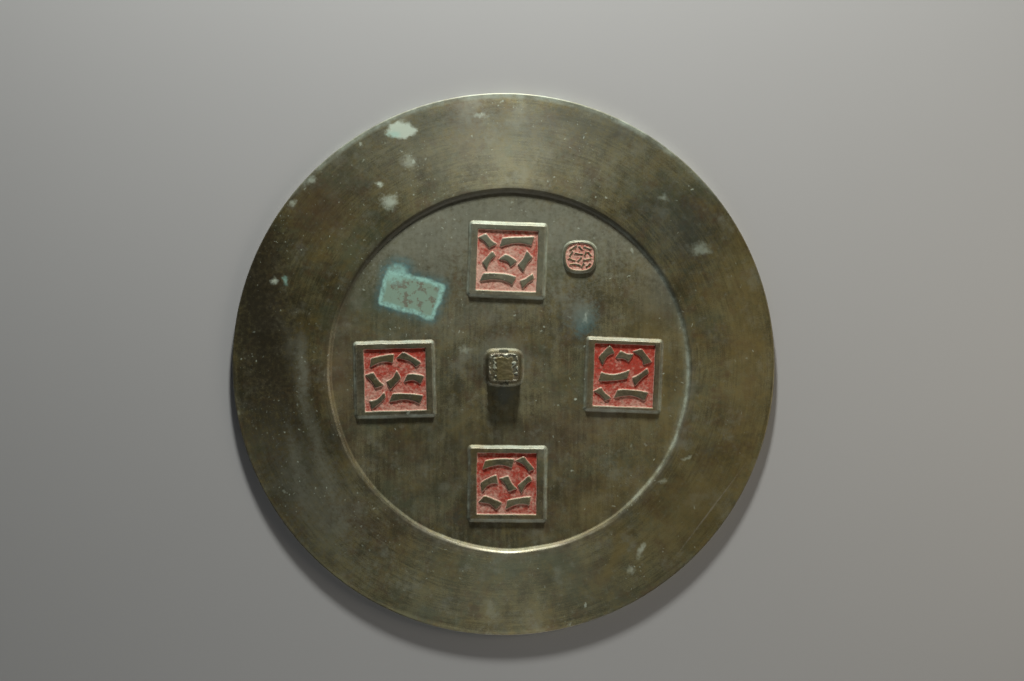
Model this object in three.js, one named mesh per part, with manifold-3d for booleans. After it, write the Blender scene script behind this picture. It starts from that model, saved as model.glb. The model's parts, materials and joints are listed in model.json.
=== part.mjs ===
// A large cast bronze mirror, lying on its reflecting face with the decorated back up. A wide plain band
// stands round a sunken field that sits a little off centre. The field holds four square framed panels
// with rows of raised strokes, a small rounded seal, and a square knob pierced for a cord.
// Millimetres, +Z up. The origin is the centre of the reflecting face.
import * as THREE from 'three';
import { mergeVertices } from 'three/addons/utils/BufferGeometryUtils.js';
import Module from 'manifold-3d';

// The disc
const MIRROR_RADIUS = 180;
const BAND_THICKNESS = 6;
const EDGE_ROUND = 0.9;
const FACE_EDGE_ROUND = 0.6;
const DISC_SEGMENTS = 144;

// The sunken field, whose circle isn't concentric with the disc
const FIELD_CENTRE = [3.8, -4.4];
const FIELD_RADIUS = 118;
const FIELD_DEPTH = 2.5;
const STEP_WIDTH = 3;
const FIELD_Z = BAND_THICKNESS - FIELD_DEPTH;

// What a raised piece is sunk into the metal below it, so that the two join
const ROOT = 0.5;

// The four panels
const FRAME_HEIGHT = 2.3;
const FRAME_DRAFT = 1.5;
const GROUND_DEPTH = 1.3;
const GROUND_DRAFT = 0.5;
const CORNER_RADIUS = 1.4;
const ROW_MARGIN = 2;
const STROKE_WIDTH = 5;
const STROKE_HEIGHT = 1;
const STROKE_WAIST = 0.7;
const STROKE_BEVEL = 0.08;

// The seal
const SEAL_CENTRE = [50.7, 71.3];
const SEAL_SIZE = [23, 21.8];
const SEAL_HEIGHT = 2;
const SEAL_RIM = 1.5;
const SEAL_DRAFT = 0.9;
const SEAL_RECESS = 0.6;
const SEAL_SQUARENESS = 2.7;
const SEAL_STROKE_WIDTH = 1.5;
const SEAL_STROKE_HEIGHT = 0.4;

// The knob and its cord hole
const KNOB_CENTRE = [0.1, -2.1];
const KNOB_TOP = [20, 18.6];
const KNOB_HEIGHT = 12.3;
const KNOB_FLARE = 3.4;
const KNOB_SQUARENESS = 9;
const KNOB_FOOT_SQUARENESS = 4;
const KNOB_RIM = 1.2;
const KNOB_CHANNEL = 2.2;
const KNOB_CHANNEL_DEPTH = 0.5;
const HOLE_WIDTH = 6;
const HOLE_FLOOR = 0.6;
const HOLE_SPRING = 4.1;

// One raised stroke. Its place runs from -1 to 1 along its row, its length is a share of the row, its rise
// is its slope in degrees, its bow is how far its middle stands off the straight line, as a share of its
// length, and its tip is how wide its right end is beside its left.
const stroke = (place, length, rise = 0, bow = 0, tip = 1) => ({ place, length, rise, bow, tip });

const PANELS = [
  {
    centre: [2.5, 69.1],
    size: [51.9, 49.8],
    ground: [40.5, 40.7],
    groundShift: [-0.1, -0.2],
    turn: -2.3,
    rows: [
      [stroke(-0.72, 0.32, -42), stroke(0.32, 0.62, 5, 0.05)],
      [stroke(-0.62, 0.34, 56, 0.06, 0.6), stroke(0.02, 0.3, -30, 0.1), stroke(0.64, 0.36, 60)],
      [stroke(-0.3, 0.64, -4, 0.08), stroke(0.74, 0.32, 38, 0, 0.6)],
    ],
  },
  {
    centre: [-72.4, -10.1],
    size: [53.8, 50.5],
    ground: [41.3, 41.5],
    groundShift: [0.5, -0.2],
    turn: 1.5,
    rows: [
      [stroke(-0.44, 0.46, 10, 0.06), stroke(0.5, 0.42, -30, 0.05, 0.7)],
      [stroke(-0.72, 0.34, -52), stroke(-0.06, 0.32, 46, -0.06), stroke(0.64, 0.34, -8, 0.12)],
      [stroke(-0.62, 0.36, 34, -0.08, 0.6), stroke(0.36, 0.58, -5, 0.07)],
    ],
  },
  {
    centre: [79.6, -7.4],
    size: [51.1, 48.9],
    ground: [40.3, 41.7],
    groundShift: [0.3, -0.1],
    turn: -2.3,
    rows: [
      [stroke(-0.64, 0.36, 48, 0.08), stroke(0, 0.3, -12), stroke(0.62, 0.36, -50, 0.06)],
      [stroke(-0.34, 0.56, 6, -0.07), stroke(0.6, 0.38, 40, 0, 0.6)],
      [stroke(-0.72, 0.32, -40, 0, 0.7), stroke(0.28, 0.6, -3, 0.07)],
    ],
  },
  {
    centre: [2.5, -79.5],
    size: [52.3, 50],
    ground: [40, 41.1],
    groundShift: [-0.4, 0.2],
    turn: -0.5,
    rows: [
      [stroke(-0.3, 0.58, 4, 0.07), stroke(0.66, 0.36, -44, 0.05, 0.7)],
      [stroke(-0.62, 0.38, 28, 0.1), stroke(0.06, 0.34, -54), stroke(0.66, 0.34, 46, 0.05, 0.6)],
      [stroke(-0.58, 0.4, -22, 0.08), stroke(0.42, 0.48, 9, 0.06)],
    ],
  },
];

const SEAL_ROWS = [
  [stroke(-0.5, 0.42, 34), stroke(0.5, 0.42, -28)],
  [stroke(-0.7, 0.34, 60), stroke(0, 0.34, -8), stroke(0.7, 0.34, -56)],
  [stroke(-0.3, 0.56, -8, 0.1), stroke(0.66, 0.34, 40)],
];

const wasm = await Module();
wasm.setup();

function solid(geometry) {
  const bare = geometry.clone();
  bare.deleteAttribute('normal');
  bare.deleteAttribute('uv');
  const merged = mergeVertices(bare, 1e-5);
  return new wasm.Manifold(
    new wasm.Mesh({
      numProp: 3,
      vertProperties: new Float32Array(merged.attributes.position.array),
      triVerts: new Uint32Array(merged.index.array),
    }),
  );
}

function meshGeometry(body) {
  const mesh = body.getMesh();
  const geometry = new THREE.BufferGeometry();
  geometry.setAttribute('position', new THREE.BufferAttribute(mesh.vertProperties, 3));
  geometry.setIndex(new THREE.BufferAttribute(mesh.triVerts, 1));
  geometry.computeVertexNormals();
  return geometry;
}

// A body of revolution about +Z, from a profile of [radius, height] points that starts and ends on the axis
function turned(profile, segments) {
  const points = profile.map(([radius, height]) => new THREE.Vector2(radius, height));
  return new THREE.LatheGeometry(points, segments).rotateX(Math.PI / 2);
}

// Turns each round section of a turned body into a rounded square. A higher squareness is a sharper
// corner, and it may change with the height.
function squared(geometry, squareness, [width, depth]) {
  const position = geometry.attributes.position;
  for (let i = 0; i < position.count; i += 1) {
    const x = position.getX(i);
    const y = position.getY(i);
    const radius = Math.hypot(x, y);
    if (radius > 0) {
      const power = squareness(position.getZ(i));
      const cos = Math.abs(x / radius) ** power;
      const sin = Math.abs(y / radius) ** power;
      const spread = (cos + sin) ** (-1 / power);
      position.setXY(i, (x * spread * width) / 2, (y * spread * depth) / 2);
    }
  }
  return geometry;
}

function roundedRectangle(width, depth, radius) {
  const shape = new THREE.Shape();
  const [x, y] = [width / 2 - radius, depth / 2 - radius];
  shape.absarc(x, y, radius, 0, Math.PI / 2);
  shape.absarc(-x, y, radius, Math.PI / 2, Math.PI);
  shape.absarc(-x, -y, radius, Math.PI, Math.PI * 1.5);
  shape.absarc(x, -y, radius, Math.PI * 1.5, Math.PI * 2);
  return shape;
}

// A rounded rectangular block standing on z = 0, its top smaller than its foot by the draft on each side
function draftedBlock(width, depth, height, draft, radius = CORNER_RADIUS) {
  const settings = { depth: height, bevelEnabled: false, curveSegments: 3 };
  const geometry = new THREE.ExtrudeGeometry(roundedRectangle(width, depth, radius), settings);
  const position = geometry.attributes.position;
  for (let i = 0; i < position.count; i += 1) {
    if (position.getZ(i) > height / 2) {
      const x = position.getX(i) * (1 - (2 * draft) / width);
      const y = position.getY(i) * (1 - (2 * draft) / depth);
      position.setXY(i, x, y);
    }
  }
  return geometry;
}

// The outline of one brush-like stroke: thin at its waist, wide at both ends, with slanted tips
function strokeOutline(length, width, bow, tip) {
  const steps = 5;
  const slant = width * 0.35;
  const above = [];
  const below = [];
  for (let i = 0; i <= steps; i += 1) {
    const along = i / steps;
    const lift = bow * length * 4 * along * (1 - along);
    const swell = STROKE_WAIST + (1 - STROKE_WAIST) * Math.abs(2 * along - 1) ** 1.5;
    const half = (width / 2) * swell * (1 + along * (tip - 1));
    const x = -length / 2 + along * (length - slant);
    above.unshift(new THREE.Vector2(x + slant, lift + half));
    below.push(new THREE.Vector2(x, lift - half));
  }
  return new THREE.Shape([...below, ...above]);
}

// Rows of raised strokes filling a width and depth about the origin, standing on z = 0
function strokeRows(rows, [width, depth], strokeWidth, height) {
  const pitch = depth / rows.length;
  const bevel = strokeWidth * STROKE_BEVEL;
  const settings = {
    depth: height + ROOT - 2 * bevel,
    bevelEnabled: true,
    bevelThickness: bevel,
    bevelSize: bevel,
    bevelOffset: -bevel,
    bevelSegments: 1,
  };
  const solids = rows.flatMap((row, index) =>
    row.map(({ place, length, rise, bow, tip }) => {
      const outline = strokeOutline(length * width, strokeWidth, bow, tip);
      const geometry = new THREE.ExtrudeGeometry(outline, settings);
      geometry.translate(0, 0, bevel - ROOT);
      geometry.rotateZ(THREE.MathUtils.degToRad(rise));
      geometry.translate((place * width) / 2, depth / 2 - pitch * (index + 0.5), 0);
      return solid(geometry);
    }),
  );
  return wasm.Manifold.union(solids);
}

// The plain disc: flat reflecting face below, broad band on top, with both edges eased
function discSolid() {
  const profile = [
    [0, 0],
    [MIRROR_RADIUS - FACE_EDGE_ROUND, 0],
    [MIRROR_RADIUS, FACE_EDGE_ROUND],
    [MIRROR_RADIUS, BAND_THICKNESS - EDGE_ROUND],
    [MIRROR_RADIUS - EDGE_ROUND * 0.3, BAND_THICKNESS - EDGE_ROUND * 0.3],
    [MIRROR_RADIUS - EDGE_ROUND, BAND_THICKNESS],
    [0, BAND_THICKNESS],
  ];
  return solid(turned(profile, DISC_SEGMENTS));
}

// What is taken out of the disc to leave the sunken field and its sloping step
function fieldCutter() {
  const clearance = 2;
  const slope = STEP_WIDTH / FIELD_DEPTH;
  const profile = [
    [0, FIELD_Z],
    [FIELD_RADIUS, FIELD_Z],
    [FIELD_RADIUS + STEP_WIDTH, BAND_THICKNESS],
    [FIELD_RADIUS + STEP_WIDTH + slope * clearance, BAND_THICKNESS + clearance],
    [0, BAND_THICKNESS + clearance],
  ];
  return solid(turned(profile, DISC_SEGMENTS)).translate([...FIELD_CENTRE, 0]);
}

// One framed panel, standing on the field with its strokes on the sunken ground
function panelSolid({ centre, size, ground, groundShift, turn, rows }) {
  const foot = draftedBlock(size[0], size[1], FRAME_HEIGHT + ROOT, FRAME_DRAFT);
  const hollow = draftedBlock(ground[0], ground[1], GROUND_DEPTH * 2, -2 * GROUND_DRAFT, CORNER_RADIUS / 2);
  const groundZ = FRAME_HEIGHT + ROOT - GROUND_DEPTH;
  const area = ground.map((side) => side - 2 * ROW_MARGIN);
  const strokes = strokeRows(rows, area, STROKE_WIDTH, STROKE_HEIGHT);
  return solid(foot)
    .subtract(solid(hollow).translate([...groundShift, groundZ]))
    .add(strokes.translate([...groundShift, groundZ]))
    .rotate([0, 0, turn])
    .translate([...centre, FIELD_Z - ROOT]);
}

// The seal: a squarish round boss with a thin rim, and small strokes inside it
function sealSolid() {
  const segments = 32;
  const rim = (2 * SEAL_RIM) / SEAL_SIZE[0];
  const draft = (2 * SEAL_DRAFT) / SEAL_SIZE[0];
  const profile = [
    [0, -ROOT],
    [1, -ROOT],
    [1, 0],
    [1 - draft, SEAL_HEIGHT],
    [1 - draft - rim * 0.6, SEAL_HEIGHT],
    [1 - draft - rim, SEAL_HEIGHT - SEAL_RECESS],
    [0, SEAL_HEIGHT - SEAL_RECESS],
  ];
  const boss = solid(squared(turned(profile, segments), () => SEAL_SQUARENESS, SEAL_SIZE));
  const area = SEAL_SIZE.map((side) => side * 0.64);
  const strokes = strokeRows(SEAL_ROWS, area, SEAL_STROKE_WIDTH, SEAL_STROKE_HEIGHT);
  const strokesZ = SEAL_HEIGHT - SEAL_RECESS;
  return boss
    .add(strokes.translate([0, 0, strokesZ]))
    .translate([...SEAL_CENTRE, FIELD_Z]);
}

// The knob: a square post with a spreading foot, and a channel round the worn stamp on its top
function knobSolid() {
  const segments = 32;
  const half = KNOB_TOP[0] / 2;
  const channelWall = KNOB_CHANNEL_DEPTH;
  const channelZ = KNOB_HEIGHT - KNOB_CHANNEL_DEPTH;
  const flared = (offset, height) => [1 + offset / half, height];
  const profile = [
    [0, -ROOT],
    flared(KNOB_FLARE, -ROOT),
    flared(KNOB_FLARE, 0),
    flared(KNOB_FLARE * 0.5, 0.6),
    flared(KNOB_FLARE * 0.25, 2),
    flared(0.6, 5),
    flared(0, KNOB_HEIGHT - 0.8),
    flared(-0.6, KNOB_HEIGHT),
    flared(-KNOB_RIM, KNOB_HEIGHT),
    flared(-KNOB_RIM - channelWall, channelZ),
    flared(-KNOB_RIM - channelWall - KNOB_CHANNEL, channelZ),
    flared(-KNOB_RIM - 2 * channelWall - KNOB_CHANNEL, KNOB_HEIGHT),
    [0, KNOB_HEIGHT],
  ];
  const rise = (z) => THREE.MathUtils.clamp(z / (KNOB_HEIGHT / 2), 0, 1);
  const squareness = (z) => THREE.MathUtils.lerp(KNOB_FOOT_SQUARENESS, KNOB_SQUARENESS, rise(z));
  const post = solid(squared(turned(profile, segments), squareness, KNOB_TOP));
  return post.translate([...KNOB_CENTRE, FIELD_Z]);
}

// The hole for the cord: an arch whose floor lies just above the field, running along Y
function cordHole() {
  const reach = KNOB_TOP[1] + 4 * KNOB_FLARE;
  const half = HOLE_WIDTH / 2;
  const arch = new THREE.Shape();
  arch.moveTo(half, HOLE_FLOOR);
  arch.lineTo(half, HOLE_SPRING);
  arch.absarc(0, HOLE_SPRING, half, 0, Math.PI);
  arch.lineTo(-half, HOLE_FLOOR);
  const settings = { depth: reach, bevelEnabled: false, curveSegments: 10 };
  const geometry = new THREE.ExtrudeGeometry(arch, settings);
  geometry.rotateX(Math.PI / 2).translate(0, reach / 2, 0);
  return solid(geometry).translate([...KNOB_CENTRE, FIELD_Z]);
}

function mirrorGeometry() {
  const raised = [...PANELS.map(panelSolid), sealSolid(), knobSolid()];
  const body = discSolid().subtract(fieldCutter()).add(wasm.Manifold.union(raised));
  return meshGeometry(body.subtract(cordHole()));
}

const bronze = new THREE.MeshStandardMaterial({ color: 0x5b563f, roughness: 0.45, metalness: 0.7 });
const mirror = new THREE.Mesh(mirrorGeometry(), bronze);
mirror.name = 'bronze_mirror';

const model = new THREE.Group();
model.add(mirror);

export default model;
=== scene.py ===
"""A large cast bronze mirror, lying on its reflecting face so that its decorated back shows.

The back has a wide plain band, a sunken field that sits a little off centre, four framed panels
with rows of raised strokes in worn red pigment, a small seal and a square knob pierced for a cord.
"""

import json
import math

import bmesh
import bpy
import numpy as np
from bpy.props import FloatProperty, FloatVectorProperty, IntProperty, PointerProperty
from mathutils import Matrix, Vector, noise

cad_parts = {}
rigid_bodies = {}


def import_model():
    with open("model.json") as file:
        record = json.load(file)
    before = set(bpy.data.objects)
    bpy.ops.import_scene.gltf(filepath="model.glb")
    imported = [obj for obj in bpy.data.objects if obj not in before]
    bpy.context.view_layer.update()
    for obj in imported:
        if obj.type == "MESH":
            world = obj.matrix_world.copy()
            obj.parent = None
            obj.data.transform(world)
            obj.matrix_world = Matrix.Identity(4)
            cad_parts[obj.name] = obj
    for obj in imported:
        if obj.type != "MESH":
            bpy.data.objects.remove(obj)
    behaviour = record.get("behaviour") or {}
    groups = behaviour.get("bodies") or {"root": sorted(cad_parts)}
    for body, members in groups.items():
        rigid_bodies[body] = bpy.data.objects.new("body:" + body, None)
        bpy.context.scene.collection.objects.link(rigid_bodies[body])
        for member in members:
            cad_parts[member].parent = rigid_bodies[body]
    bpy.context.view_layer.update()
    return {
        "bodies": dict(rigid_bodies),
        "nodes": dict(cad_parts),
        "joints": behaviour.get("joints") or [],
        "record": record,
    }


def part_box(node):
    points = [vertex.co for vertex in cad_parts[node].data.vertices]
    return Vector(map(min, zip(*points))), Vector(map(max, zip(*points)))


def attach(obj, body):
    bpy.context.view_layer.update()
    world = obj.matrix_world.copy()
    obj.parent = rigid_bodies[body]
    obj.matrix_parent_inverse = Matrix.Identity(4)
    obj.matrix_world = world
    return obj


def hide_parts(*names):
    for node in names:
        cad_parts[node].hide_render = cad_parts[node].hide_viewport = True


bl_info = {
    "name": "Bronze Mirror",
    "version": (1, 0, 0),
    "blender": (4, 5, 0),
    "location": "3D View > Sidebar > Mirror",
    "description": "Builds a cast bronze mirror back with its relief, patina and pigment",
    "category": "Add Mesh",
}

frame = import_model()
MIRROR_NODE = "bronze_mirror"
LOW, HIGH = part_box(MIRROR_NODE)

MM = 0.001
MIRROR_RADIUS = (HIGH.x - LOW.x) / 2
MIRROR_TOP = HIGH.z

# Places on the field, which stay as cast
FIELD_CENTRE = Vector((3.8, -4.4, 0)) * MM
SEAL_CENTRE = Vector((50.7, 71.3, 0)) * MM
KNOB_CENTRE = Vector((0.1, -2.1, 0)) * MM

# How deep the foot of each raised piece is sunk into the field
ROOT = 0.8 * MM

# Where each piece's noise starts, so that no two are alike
DISC_SEED, PANEL_SEED, SEAL_SEED, KNOB_SEED = 1, 20, 71, 80


def stroke(place, length, rise=0, bow=0, tip=1):
    """One raised stroke: its place from -1 to 1 along its row, its length as a share of the row, its
    slope in degrees, its bow as a share of its length, and its right end's width beside its left's."""
    return {"place": place, "length": length, "rise": rise, "bow": bow, "tip": tip}


PANELS = {
    "top_panel": {
        "centre": (2.5, 69.1),
        "size": (51.9, 49.8),
        "ground": (40.5, 40.7),
        "shift": (-0.1, -0.2),
        "turn": -2.3,
        "dust": 0.55,
        "rows": [
            [stroke(-0.72, 0.32, -42), stroke(0.32, 0.62, 5, 0.05)],
            [stroke(-0.62, 0.34, 56, 0.06, 0.6), stroke(0.02, 0.3, -30, 0.1), stroke(0.64, 0.36, 60)],
            [stroke(-0.3, 0.64, -4, 0.08), stroke(0.74, 0.32, 38, 0, 0.6)],
        ],
    },
    "left_panel": {
        "centre": (-72.4, -10.1),
        "size": (53.8, 50.5),
        "ground": (41.3, 41.5),
        "shift": (0.5, -0.2),
        "turn": 1.5,
        "dust": 0.35,
        "rows": [
            [stroke(-0.44, 0.46, 10, 0.06), stroke(0.5, 0.42, -30, 0.05, 0.7)],
            [stroke(-0.72, 0.34, -52), stroke(-0.06, 0.32, 46, -0.06), stroke(0.64, 0.34, -8, 0.12)],
            [stroke(-0.62, 0.36, 34, -0.08, 0.6), stroke(0.36, 0.58, -5, 0.07)],
        ],
    },
    "right_panel": {
        "centre": (79.6, -7.4),
        "size": (51.1, 48.9),
        "ground": (40.3, 41.7),
        "shift": (0.3, -0.1),
        "turn": -2.3,
        "dust": 0.16,
        "rows": [
            [stroke(-0.64, 0.36, 48, 0.08), stroke(0, 0.3, -12), stroke(0.62, 0.36, -50, 0.06)],
            [stroke(-0.34, 0.56, 6, -0.07), stroke(0.6, 0.38, 40, 0, 0.6)],
            [stroke(-0.72, 0.32, -40, 0, 0.7), stroke(0.28, 0.6, -3, 0.07)],
        ],
    },
    "bottom_panel": {
        "centre": (2.5, -79.5),
        "size": (52.3, 50),
        "ground": (40, 41.1),
        "shift": (-0.4, 0.2),
        "turn": -0.5,
        "dust": 0.32,
        "rows": [
            [stroke(-0.3, 0.58, 4, 0.07), stroke(0.66, 0.36, -44, 0.05, 0.7)],
            [stroke(-0.62, 0.38, 28, 0.1), stroke(0.06, 0.34, -54), stroke(0.66, 0.34, 46, 0.05, 0.6)],
            [stroke(-0.58, 0.4, -22, 0.08), stroke(0.42, 0.48, 9, 0.06)],
        ],
    },
}

SEAL_ROWS = [
    [stroke(-0.56, 0.4, 34), stroke(0.06, 0.26, -52), stroke(0.62, 0.38, -20)],
    [stroke(-0.72, 0.3, 60), stroke(-0.1, 0.38, -8), stroke(0.46, 0.26, 70), stroke(0.8, 0.26, -56)],
    [stroke(-0.66, 0.34, -24), stroke(-0.02, 0.3, 48), stroke(0.6, 0.4, 12)],
    [stroke(-0.4, 0.5, -8, 0.1), stroke(0.24, 0.26, 62), stroke(0.7, 0.3, 40)],
]


# ---------------------------------------------------------------- settings


def length(name, description, millimetres):
    return FloatProperty(
        name=name, description=description, default=millimetres * MM, unit="LENGTH", precision=5
    )


def colour(name, description, value):
    return FloatVectorProperty(
        name=name, description=description, default=value, subtype="COLOR", size=3, min=0, max=1
    )


def amount(name, description, value, unit="NONE"):
    return FloatProperty(name=name, description=description, default=value, unit=unit)


class DiscSettings(bpy.types.PropertyGroup):
    band_height: length("Band height", "Height of the plain band's top over the reflecting face", 6)
    field_depth: length("Field depth", "How far the field is sunk below the band", 2.5)
    field_radius: length("Field radius", "Radius of the sunken field at the foot of its step", 118)
    step_width: length("Step width", "Width of the sloping step between field and band", 3)
    edge_round: length("Edge round", "Rounding of the disc's outer edge", 0.9)
    ring_spacing: length("Ring spacing", "Distance between the rings of the plain surfaces", 2.4)
    waviness: length("Waviness", "Height of the slow unevenness of the plain surfaces", 0.05)
    segments: IntProperty(name="Segments", description="Faces round the disc", default=512, min=64)


class PanelSettings(bpy.types.PropertyGroup):
    frame_height: length("Frame height", "Height of a panel's frame over the field", 2.3)
    frame_draft: length("Frame draft", "Width of the frame's outer slope", 1.5)
    foot_spread: length("Foot spread", "How far the slope's hollow foot runs out past its width", 1.3)
    ground_depth: length("Ground depth", "How far the red ground is sunk below the frame", 1.3)
    corner_radius: length("Corner radius", "Rounding of a frame's corners in plan", 0.9)
    row_margin: length("Row margin", "Space between the strokes and the frame", 1.4)
    stroke_width: length("Stroke width", "Width of a stroke at its left end", 5.8)
    stroke_height: length("Stroke height", "Height of the strokes over their ground", 1)
    grid: length("Grid", "Spacing of the panel's relief mesh", 0.28)


class SealSettings(bpy.types.PropertyGroup):
    width: length("Width", "Width of the seal at its foot", 23)
    depth: length("Depth", "The seal's size from top to bottom at its foot", 21.8)
    height: length("Height", "Height of the seal's rim over the field", 2)
    rim: length("Rim", "Width of the seal's raised rim", 1.2)
    recess: length("Recess", "How far the seal's ground is sunk below its rim", 0.6)
    grid: length("Grid", "Spacing of the seal's relief mesh", 0.2)


class KnobSettings(bpy.types.PropertyGroup):
    width: length("Width", "Width of the knob's top", 20)
    depth: length("Depth", "The knob's top from front to back", 18.6)
    flare: length("Flare", "How far the knob's foot spreads beyond its top", 3.9)
    hole_width: length("Hole width", "Width of the cord hole", 6)
    hole_floor: length("Hole floor", "Height of the cord hole's floor over the field", 0.6)
    hole_spring: length("Hole spring", "Height over the field at which the hole's arch begins", 4.1)
    grid: length("Grid", "Size of the knob's remeshed faces", 0.3)


class FinishSettings(bpy.types.PropertyGroup):
    light_field: colour("Light field", "The paler olive of the field", (0.225, 0.208, 0.1))
    dark_field: colour("Dark field", "The darker olive of the field", (0.08, 0.072, 0.027))
    light_band: colour("Light band", "The paler olive of the band", (0.225, 0.203, 0.085))
    dark_band: colour("Dark band", "The darker olive of the band", (0.075, 0.066, 0.021))
    light_frame: colour("Light frame", "The paler olive of the frames", (0.205, 0.183, 0.095))
    dark_frame: colour("Dark frame", "The darker olive of the frames", (0.075, 0.064, 0.028))
    brown_bronze: colour("Brown bronze", "Reddish brown patches in the patina", (0.12, 0.07, 0.026))
    # Also laid as painted shade in the step, down the left of the band and over the left panel's frame
    umber_bronze: colour("Umber bronze", "The darkest, oldest patina and dirt", (0.032, 0.027, 0.009))
    ochre_bronze: colour("Ochre bronze", "Golden patches in the patina", (0.22, 0.17, 0.045))
    green_bronze: colour("Green bronze", "Greyish green patches in the patina", (0.11, 0.132, 0.07))
    blue_bronze: colour("Blue bronze", "Bluish grey patches in the patina", (0.1, 0.125, 0.115))
    dusty_bronze: colour("Dusty bronze", "Pale grey haze on the patina", (0.29, 0.305, 0.23))
    turquoise: colour("Turquoise", "Fresh copper corrosion", (0.29, 0.6, 0.52))
    teal_stain: colour("Teal stain", "Thin blue green stain round the corrosion", (0.1, 0.26, 0.28))
    # Also the colour of the painted highlight along the disc's far rim
    pale_crust_and_highlight: colour("Pale crust", "Pale mineral crust and specks", (0.56, 0.68, 0.57))
    red_pigment: colour("Red pigment", "Vermilion pigment in the grounds", (0.41, 0.042, 0.022))
    pale_pigment: colour("Pale pigment", "Pigment rubbed thin and dusty", (0.68, 0.43, 0.34))
    # Also the colour of the painted highlight on the side of the step that faces the lamp
    bare_metal_and_highlight: colour("Bare metal", "Metal rubbed bright along the edges", (0.34, 0.32, 0.25))


class StageSettings(bpy.types.PropertyGroup):
    floor_colour: colour("Floor colour", "Colour of the plain floor", (0.42, 0.43, 0.44))
    lamp_distance: length("Lamp distance", "From the mirror's centre to the main lamp", 1065)
    lamp_size: length("Lamp size", "Width of the main lamp", 140)
    lamp_power: amount("Lamp power", "Power of the main lamp", 14.5, "POWER")
    lamp_rise: amount("Lamp rise", "The main lamp's angle over the floor", math.radians(21), "ROTATION")
    side_power: amount("Side power", "Power of the lamp at the right", 0.75, "POWER")
    low_power: amount("Low power", "Power of the lamp at the front", 1.05, "POWER")
    horizon: amount("Horizon", "Strength of the surround near the horizon", 0.17)
    fill: amount("Fill", "Strength of the surround overhead", 0.025)


# ---------------------------------------------------------------- shapes


def smooth(low, high, value):
    """0 below low, 1 above high, and an even S between."""
    share = np.clip((value - low) / (high - low), 0, 1)
    return share * share * (3 - 2 * share)


def bell(value, centre, width):
    """1 at the centre, fading to both sides over about the width."""
    return np.exp(-(((value - centre) / width) ** 2))


def uneven(points, size, seed, octaves=1):
    """Noise from about -1 to 1 at each point, with features of the given size."""
    offset = Vector((seed * 7.31, seed * 3.17, seed * 1.73))
    return np.array([noise.fractal(Vector(p) / size + offset, 0.7, 2.0, octaves) for p in points])


def rounded_box(x, y, half_x, half_y, radius):
    """Distance to a rectangle with round corners, negative inside it."""
    past_x = np.abs(x) - half_x + radius
    past_y = np.abs(y) - half_y + radius
    outside = np.hypot(np.maximum(past_x, 0), np.maximum(past_y, 0))
    return outside + np.minimum(np.maximum(past_x, past_y), 0) - radius


def squircle(x, y, half_x, half_y, squareness):
    """Rough distance to a rounded square, negative inside it."""
    reach = (np.abs(x / half_x) ** squareness + np.abs(y / half_y) ** squareness) ** (1 / squareness)
    return (reach - 1) * min(half_x, half_y)


def soft_least(first, second, reach):
    """The lesser of two values, with the corner between them rounded over the reach."""
    share = np.clip(0.5 + 0.5 * (second - first) / reach, 0, 1)
    return second + (first - second) * share - reach * share * (1 - share)


def stroke_distance(x, y, size, width, bow, tip):
    """Distance to a brush-like stroke of that size along X, negative inside it.

    Its ends are cut on the slant.
    """
    slant = 0.35 * width
    level = x - slant * y / width
    run = size - slant
    along = np.clip(level / run + 0.5, 0, 1)
    off = np.abs(y - bow * size * 4 * along * (1 - along))
    swell = 0.7 + 0.3 * np.abs(2 * along - 1) ** 1.5
    half = width / 2 * swell * (1 + along * (tip - 1))
    past_end = np.abs(level) - run / 2
    return -soft_least(half - off, -past_end, 0.2 * width)


def strokes_height(x, y, rows, area, width, slope):
    """1 on the top of every stroke in the rows, 0 on the ground, with a soft slope between."""
    pitch = area[1] / len(rows)
    raised = np.zeros_like(x)
    for index, row in enumerate(rows):
        for mark in row:
            turn = math.radians(mark["rise"])
            dx = x - mark["place"] * area[0] / 2
            dy = y - area[1] / 2 + pitch * (index + 0.5)
            along = dx * math.cos(turn) + dy * math.sin(turn)
            across = dy * math.cos(turn) - dx * math.sin(turn)
            distance = stroke_distance(
                along, across, mark["length"] * area[0], width, mark["bow"], mark["tip"]
            )
            raised = np.maximum(raised, 1 - smooth(-slope, slope, distance))
    return raised


def coordinates(vertices):
    return np.array([v.co for v in vertices])


def move_to(vertices, places):
    for vertex, place in zip(vertices, places):
        vertex.co = place


def store_masks(mesh, masks):
    for mask, values in masks.items():
        attribute = mesh.attributes.new(mask, "FLOAT", "POINT")
        attribute.data.foreach_set("value", np.asarray(values, np.float32))


def to_object(bm, name, materials, masks=None):
    """Makes a smooth-shaded object of a bmesh in place, and stores each mask as a point attribute."""
    mesh = bpy.data.meshes.new(name)
    bm.to_mesh(mesh)
    bm.free()
    store_masks(mesh, masks or {})
    for material in materials:
        mesh.materials.append(material)
    mesh.polygons.foreach_set("use_smooth", [True] * len(mesh.polygons))
    piece = bpy.data.objects.new(name, mesh)
    bpy.context.scene.collection.objects.link(piece)
    return piece


def even_steps(start, end, spacing):
    """Values from start up to, but without, end."""
    count = max(1, round(abs(end - start) / spacing))
    return [start + (end - start) * i / count for i in range(count)]


def arc(centre, radius, start, end, count):
    """Points of an arc in degrees, both ends included."""
    angles = [math.radians(start + (end - start) * i / count) for i in range(count + 1)]
    return [(centre[0] + radius * math.cos(a), centre[1] + radius * math.sin(a)) for a in angles]


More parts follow.
